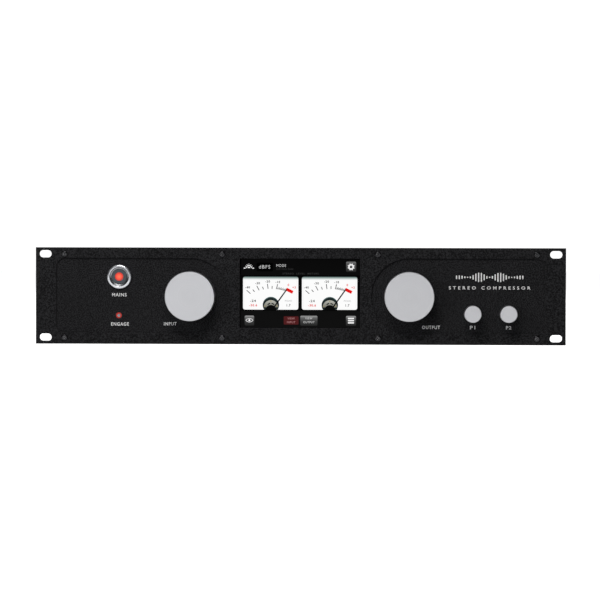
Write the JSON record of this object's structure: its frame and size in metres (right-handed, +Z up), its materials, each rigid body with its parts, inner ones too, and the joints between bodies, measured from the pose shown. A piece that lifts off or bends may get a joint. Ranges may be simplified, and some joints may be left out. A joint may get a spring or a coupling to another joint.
{
  "type": "rack compressor",
  "caption": "Two-unit 19-inch rack audio compressor with a touch display, turned aluminium knobs, a lit mains button and balanced rear connectors.",
  "frame": {"origin": "centre of the four rack slots, on the rear (mounting) face of the front panel", "axes": "+X to the right seen from the front, +Y back into the rack, +Z up; the front faces -Y"},
  "size_m": [0.4826, 0.2697, 0.0882],
  "materials": {
    "panel_paint": "fine textured black powder coat",
    "case_paint": "black powder coat",
    "black_steel": "black oxide",
    "display_glass": "clear gloss lens over a dark screen",
    "display_black": "screen black",
    "plain_aluminium": "mill finish",
    "switch_chrome": "polished",
    "dark_metal": "satin, dark",
    "red_lamp": "lit red lens",
    "red_ring": "translucent red",
    "steel": "plated",
    "knob_aluminium": "satin turned face, bright edge",
    "set_screw_black": "black oxide",
    "component_plastic": "moulded",
    "encoder_metal": "plated sheet",
    "circuit_board": "green solder mask",
    "brass": "nickel plated brass",
    "capacitor_sleeve": "shrink sleeve",
    "winding_tape": "wound polyester tape",
    "pad_rubber": "matte",
    "inlet_plastic": "moulded black",
    "pin_metal": "nickel plated",
    "contact_gold": "gold flashed",
    "fuse_glass": "metal caps on a glass tube",
    "connector_metal": "black lacquered die casting",
    "latch_metal": "satin",
    "ribbon": "grey flat cable",
    "wire_sleeve": "insulated wire"
  },
  "bodies": {
    "case": {"front_panel": "panel_paint", "bottom_plate": "case_paint", "left_side_plate": "case_paint", "right_side_plate": "case_paint", "rear_panel": "case_paint", "top_cover": "case_paint", "front_panel_screws": "black_steel", "casing_screws": "black_steel", "rear_screws": "black_steel", "display_glass": "display_glass", "display_panel": "display_black", "display_frame": "plain_aluminium", "heatsink": "plain_aluminium", "mains_switch_body": "switch_chrome", "engage_light_ring": "red_ring", "mains_switch_nut": "steel", "encoder_nuts": "steel", "transformer_clamp": "steel", "transformer_bolt": "steel", "engage_switch_body": "component_plastic", "relays": "component_plastic", "voltage_regulators": "component_plastic", "input_encoder": "encoder_metal", "output_encoder": "encoder_metal", "p1_encoder": "encoder_metal", "p2_encoder": "encoder_metal", "usb_socket": "encoder_metal", "display_board": "circuit_board", "left_control_board": "circuit_board", "right_control_board": "circuit_board", "audio_board": "circuit_board", "supply_board": "circuit_board", "board_standoffs": "brass", "capacitors": "capacitor_sleeve", "transformer": "winding_tape", "transformer_pads": "pad_rubber", "mains_inlet": "inlet_plastic", "mains_inlet_pins": "pin_metal", "output_socket_pins": "contact_gold", "input_sockets": "connector_metal", "output_sockets": "connector_metal", "ribbon_cables": "ribbon", "wiring_harness": "wire_sleeve"},
    "input_control": {"input_knob": "knob_aluminium", "input_encoder_shaft": "steel", "input_knob_set_screw": "set_screw_black"},
    "output_control": {"output_knob": "knob_aluminium", "output_encoder_shaft": "steel", "output_knob_set_screw": "set_screw_black"},
    "p1_control": {"p1_knob": "knob_aluminium", "p1_encoder_shaft": "steel"},
    "p2_control": {"p2_knob": "knob_aluminium", "p2_encoder_shaft": "steel"},
    "mains_button": {"mains_switch_plunger": "dark_metal", "mains_switch_lens": "red_lamp"},
    "engage_button": {"engage_switch_cap": "steel"},
    "left_latch": {"left_input_latch": "latch_metal"},
    "right_latch": {"right_input_latch": "latch_metal"},
    "fuse_tray": {"fuse_drawer": "inlet_plastic", "fuse": "fuse_glass"}
  },
  "joints": [
    {"name": "input_turn", "type": "hinge", "parent": "case", "child": "input_control", "pos_m": [-0.0993, -0.01, 0], "axis": [0, 1, 0], "continuous": true},
    {"name": "output_turn", "type": "hinge", "parent": "case", "child": "output_control", "pos_m": [0.0993, -0.01, 0], "axis": [0, 1, 0], "continuous": true},
    {"name": "p1_turn", "type": "hinge", "parent": "case", "child": "p1_control", "pos_m": [0.1566, -0.01, -0.0155], "axis": [0, 1, 0], "continuous": true},
    {"name": "p2_turn", "type": "hinge", "parent": "case", "child": "p2_control", "pos_m": [0.1888, -0.01, -0.0155], "axis": [0, 1, 0], "continuous": true},
    {"name": "mains_push", "type": "slide", "parent": "case", "child": "mains_button", "axis": [0, 1, 0], "range_m": [0, 0.0022], "stiffness_N_per_m": 1200, "springref_m": -0.0006},
    {"name": "engage_push", "type": "slide", "parent": "case", "child": "engage_button", "axis": [0, 1, 0], "range_m": [0, 0.0008], "stiffness_N_per_m": 1500, "springref_m": -0.0003},
    {"name": "left_latch_push", "type": "slide", "parent": "case", "child": "left_latch", "axis": [0, -1, 0], "range_m": [0, 0.0015], "stiffness_N_per_m": 1000, "springref_m": -0.0005},
    {"name": "right_latch_push", "type": "slide", "parent": "case", "child": "right_latch", "axis": [0, -1, 0], "range_m": [0, 0.0015], "stiffness_N_per_m": 1000, "springref_m": -0.0005},
    {"name": "fuse_slide", "type": "slide", "parent": "case", "child": "fuse_tray", "axis": [0, 1, 0], "range_m": [0, 0.018]}
  ]
}
